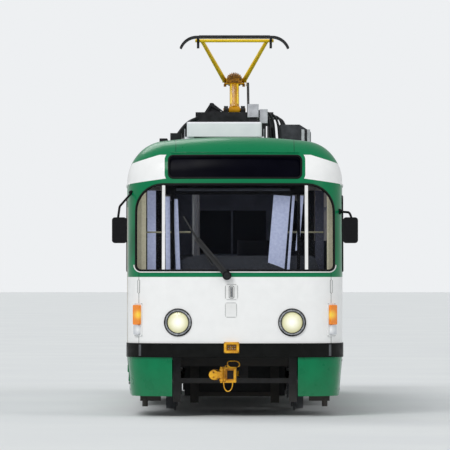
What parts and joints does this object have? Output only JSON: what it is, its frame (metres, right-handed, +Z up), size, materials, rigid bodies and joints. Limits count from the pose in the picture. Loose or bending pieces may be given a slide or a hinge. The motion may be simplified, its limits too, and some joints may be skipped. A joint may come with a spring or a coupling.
{
  "type": "four-axle tram",
  "caption": "Single-ended tram with hollow saloon and cab, folding doors, two swivelling bogies, roof gear, single-arm pantograph and folding couplers.",
  "frame": {"origin": "on the ground under the middle of the tram, at the height of the wheel flanges' lowest points", "axes": "+Y towards the rear, +X towards the driver's side away from the doors, +Z up"},
  "size_m": [2.76, 14.0628, 4.415],
  "materials": {
    "green_white_paint": "gloss enamel",
    "roof_paint": "gloss enamel",
    "skirt_paint": "gloss enamel",
    "window_glass": "clear",
    "sign_glass": "gloss",
    "underframe_paint": "matt",
    "step_plate": "ribbed",
    "bumper_rubber": "satin",
    "yellow_paint": "gloss enamel",
    "lamp_ring": "polished",
    "lamp_glass": "clear",
    "orange_lens": "clear",
    "red_lens": "clear",
    "white_plate": "gloss enamel",
    "mirror_housing": "grained",
    "wiper_black": "satin",
    "cooler_white": "satin",
    "switch_grey": "satin",
    "dark_grey": "satin",
    "black_frame": "satin",
    "porcelain": "glazed",
    "arm_yellow": "gloss enamel",
    "collector": "worn",
    "desk_grey": "grained",
    "seat_shell": "moulded",
    "pole_steel": "brushed",
    "bogie_paint": "dusty",
    "wheel_steel": "rolled",
    "door_paint": "gloss enamel"
  },
  "bodies": {
    "root": {"front_end": "green_white_paint", "rear_end": "green_white_paint", "side_wall_left": "green_white_paint", "side_wall_right": "green_white_paint", "roof_shell": "roof_paint", "skirt_panels": "skirt_paint", "windscreen_panes": "window_glass", "rear_panes": "window_glass", "side_panes_left": "window_glass", "side_panes_right": "window_glass", "destination_sign": "sign_glass", "underframe": "underframe_paint", "step_wells": "step_plate", "bumper_strips": "bumper_rubber", "cable_socket": "yellow_paint", "headlamp_rims": "lamp_ring", "lamp_lenses": "lamp_glass", "indicator_lamps": "orange_lens", "tail_lamps": "red_lens", "end_plates": "white_plate", "mirrors": "mirror_housing", "wiper": "wiper_black", "cab_cooling_unit": "cooler_white", "roof_switch_boxes": "switch_grey", "roof_stands": "black_frame", "resistor_box": "dark_grey", "pantograph_base": "black_frame", "pantograph_insulators": "porcelain", "cab_fittings": "desk_grey", "seats": "seat_shell", "grab_poles": "pole_steel", "underfloor_boxes": "dark_grey", "towing_frame": "black_frame", "track_guards": "black_frame"},
    "pantograph_lower_arm": {"pantograph_lower_arm": "arm_yellow"},
    "pantograph_upper_arm": {"pantograph_upper_arm": "arm_yellow"},
    "pantograph_head": {"pantograph_head": "collector"},
    "pantograph_rod": {"pantograph_rod": "arm_yellow"},
    "front_drawbar": {"front_drawbar": "yellow_paint"},
    "front_coupler_head": {"front_coupler_head": "yellow_paint"},
    "rear_drawbar": {"rear_drawbar": "yellow_paint"},
    "rear_coupler_head": {"rear_coupler_head": "yellow_paint"},
    "bogie_frame_front": {"bogie_frame_front": "bogie_paint"},
    "bogie_frame_rear": {"bogie_frame_rear": "bogie_paint"},
    "wheelset_1": {"wheelset_1": "wheel_steel"},
    "wheelset_2": {"wheelset_2": "wheel_steel"},
    "wheelset_3": {"wheelset_3": "wheel_steel"},
    "wheelset_4": {"wheelset_4": "wheel_steel"},
    "front_door_fore_post_leaf": {"front_door_fore_post_leaf": "door_paint"},
    "front_door_fore_inner_leaf": {"front_door_fore_inner_leaf": "door_paint"},
    "front_door_aft_post_leaf": {"front_door_aft_post_leaf": "door_paint"},
    "front_door_aft_inner_leaf": {"front_door_aft_inner_leaf": "door_paint"},
    "middle_door_fore_post_leaf": {"middle_door_fore_post_leaf": "door_paint"},
    "middle_door_fore_inner_leaf": {"middle_door_fore_inner_leaf": "door_paint"},
    "middle_door_aft_post_leaf": {"middle_door_aft_post_leaf": "door_paint"},
    "middle_door_aft_inner_leaf": {"middle_door_aft_inner_leaf": "door_paint"},
    "rear_door_fore_post_leaf": {"rear_door_fore_post_leaf": "door_paint"},
    "rear_door_fore_inner_leaf": {"rear_door_fore_inner_leaf": "door_paint"},
    "rear_door_aft_post_leaf": {"rear_door_aft_post_leaf": "door_paint"},
    "rear_door_aft_inner_leaf": {"rear_door_aft_inner_leaf": "door_paint"}
  },
  "joints": [
    {"name": "bogie_front_swivel", "type": "hinge", "parent": "root", "child": "bogie_frame_front", "pos_m": [0, -3.2, 0.65], "axis": [0, 0, 1], "range_deg": [-9, 9]},
    {"name": "bogie_rear_swivel", "type": "hinge", "parent": "root", "child": "bogie_frame_rear", "pos_m": [0, 3.2, 0.65], "axis": [0, 0, 1], "range_deg": [-9, 9]},
    {"name": "wheelset_1_spin", "type": "hinge", "parent": "bogie_frame_front", "child": "wheelset_1", "pos_m": [0, -4.15, 0.372], "axis": [1, 0, 0], "continuous": true},
    {"name": "wheelset_2_spin", "type": "hinge", "parent": "bogie_frame_front", "child": "wheelset_2", "pos_m": [0, -2.25, 0.372], "axis": [1, 0, 0], "continuous": true},
    {"name": "wheelset_3_spin", "type": "hinge", "parent": "bogie_frame_rear", "child": "wheelset_3", "pos_m": [0, 2.25, 0.372], "axis": [1, 0, 0], "continuous": true},
    {"name": "wheelset_4_spin", "type": "hinge", "parent": "bogie_frame_rear", "child": "wheelset_4", "pos_m": [0, 4.15, 0.372], "axis": [1, 0, 0], "continuous": true},
    {"name": "pantograph_lift", "type": "hinge", "parent": "root", "child": "pantograph_lower_arm", "pos_m": [0, -3.35, 3.54], "axis": [1, 0, 0], "range_deg": [-14, 38]},
    {"name": "pantograph_elbow", "type": "hinge", "parent": "pantograph_lower_arm", "child": "pantograph_upper_arm", "pos_m": [0, -2.3, 3.93], "axis": [1, 0, 0], "range_deg": [-76.5, 28.5]},
    {"name": "pantograph_head_level", "type": "hinge", "parent": "pantograph_upper_arm", "child": "pantograph_head", "pos_m": [0, -3.4, 4.36], "axis": [1, 0, 0], "range_deg": [-14.5, 38.5]},
    {"name": "pantograph_rod_swing", "type": "hinge", "parent": "root", "child": "pantograph_rod", "pos_m": [0.165, -3.45, 3.4175], "axis": [1, 0, 0], "range_deg": [-13.5, 36.5]},
    {"name": "front_drawbar_swing", "type": "hinge", "parent": "root", "child": "front_drawbar", "pos_m": [0, -6.1, 0.469], "axis": [0, 0, 1], "range_deg": [-14.5, 25]},
    {"name": "front_coupler_unfold", "type": "hinge", "parent": "front_drawbar", "child": "front_coupler_head", "pos_m": [-0.15326, -6.85723, 0.469], "axis": [0, 0, 1], "range_deg": [0, 180]},
    {"name": "rear_drawbar_swing", "type": "hinge", "parent": "root", "child": "rear_drawbar", "pos_m": [0, 6.1, 0.469], "axis": [0, 0, 1], "range_deg": [-14.5, 25]},
    {"name": "rear_coupler_unfold", "type": "hinge", "parent": "rear_drawbar", "child": "rear_coupler_head", "pos_m": [0.15326, 6.85723, 0.469], "axis": [0, 0, 1], "range_deg": [0, 180]},
    {"name": "front_door_fore_post_hinge", "type": "hinge", "parent": "root", "child": "front_door_fore_post_leaf", "pos_m": [-1.17726, -6.032, 1.4], "axis": [0, 0, -1], "range_deg": [0, 85]},
    {"name": "front_door_fore_fold", "type": "hinge", "parent": "front_door_fore_post_leaf", "child": "front_door_fore_inner_leaf", "pos_m": [-1.21526, -5.725, 1.4], "axis": [0, 0, 1], "range_deg": [0, 171]},
    {"name": "front_door_aft_post_hinge", "type": "hinge", "parent": "root", "child": "front_door_aft_post_leaf", "pos_m": [-1.17726, -4.768, 1.4], "axis": [0, 0, 1], "range_deg": [0, 85]},
    {"name": "front_door_aft_fold", "type": "hinge", "parent": "front_door_aft_post_leaf", "child": "front_door_aft_inner_leaf", "pos_m": [-1.21526, -5.075, 1.4], "axis": [0, 0, -1], "range_deg": [0, 171]},
    {"name": "middle_door_fore_post_hinge", "type": "hinge", "parent": "root", "child": "middle_door_fore_post_leaf", "pos_m": [-1.212, -0.632, 1.4], "axis": [0, 0, -1], "range_deg": [0, 85]},
    {"name": "middle_door_fore_fold", "type": "hinge", "parent": "middle_door_fore_post_leaf", "child": "middle_door_fore_inner_leaf", "pos_m": [-1.25, -0.325, 1.4], "axis": [0, 0, 1], "range_deg": [0, 171]},
    {"name": "middle_door_aft_post_hinge", "type": "hinge", "parent": "root", "child": "middle_door_aft_post_leaf", "pos_m": [-1.212, 0.632, 1.4], "axis": [0, 0, 1], "range_deg": [0, 85]},
    {"name": "middle_door_aft_fold", "type": "hinge", "parent": "middle_door_aft_post_leaf", "child": "middle_door_aft_inner_leaf", "pos_m": [-1.25, 0.325, 1.4], "axis": [0, 0, -1], "range_deg": [0, 171]},
    {"name": "rear_door_fore_post_hinge", "type": "hinge", "parent": "root", "child": "rear_door_fore_post_leaf", "pos_m": [-1.17726, 4.768, 1.4], "axis": [0, 0, -1], "range_deg": [0, 85]},
    {"name": "rear_door_fore_fold", "type": "hinge", "parent": "rear_door_fore_post_leaf", "child": "rear_door_fore_inner_leaf", "pos_m": [-1.21526, 5.075, 1.4], "axis": [0, 0, 1], "range_deg": [0, 171]},
    {"name": "rear_door_aft_post_hinge", "type": "hinge", "parent": "root", "child": "rear_door_aft_post_leaf", "pos_m": [-1.17726, 6.032, 1.4], "axis": [0, 0, 1], "range_deg": [0, 85]},
    {"name": "rear_door_aft_fold", "type": "hinge", "parent": "rear_door_aft_post_leaf", "child": "rear_door_aft_inner_leaf", "pos_m": [-1.21526, 5.725, 1.4], "axis": [0, 0, -1], "range_deg": [0, 171]}
  ],
  "couplings": [
    {"joint": "pantograph_elbow", "follows": "pantograph_lift", "ratio": -2},
    {"joint": "pantograph_head_level", "follows": "pantograph_lift", "ratio": 1},
    {"joint": "pantograph_rod_swing", "follows": "pantograph_lift", "ratio": 0.946},
    {"joint": "front_door_aft_post_hinge", "follows": "front_door_fore_post_hinge", "ratio": 1},
    {"joint": "front_door_fore_fold", "follows": "front_door_fore_post_hinge", "ratio": 2},
    {"joint": "front_door_aft_fold", "follows": "front_door_fore_post_hinge", "ratio": 2},
    {"joint": "middle_door_aft_post_hinge", "follows": "middle_door_fore_post_hinge", "ratio": 1},
    {"joint": "middle_door_fore_fold", "follows": "middle_door_fore_post_hinge", "ratio": 2},
    {"joint": "middle_door_aft_fold", "follows": "middle_door_fore_post_hinge", "ratio": 2},
    {"joint": "rear_door_aft_post_hinge", "follows": "rear_door_fore_post_hinge", "ratio": 1},
    {"joint": "rear_door_fore_fold", "follows": "rear_door_fore_post_hinge", "ratio": 2},
    {"joint": "rear_door_aft_fold", "follows": "rear_door_fore_post_hinge", "ratio": 2}
  ]
}
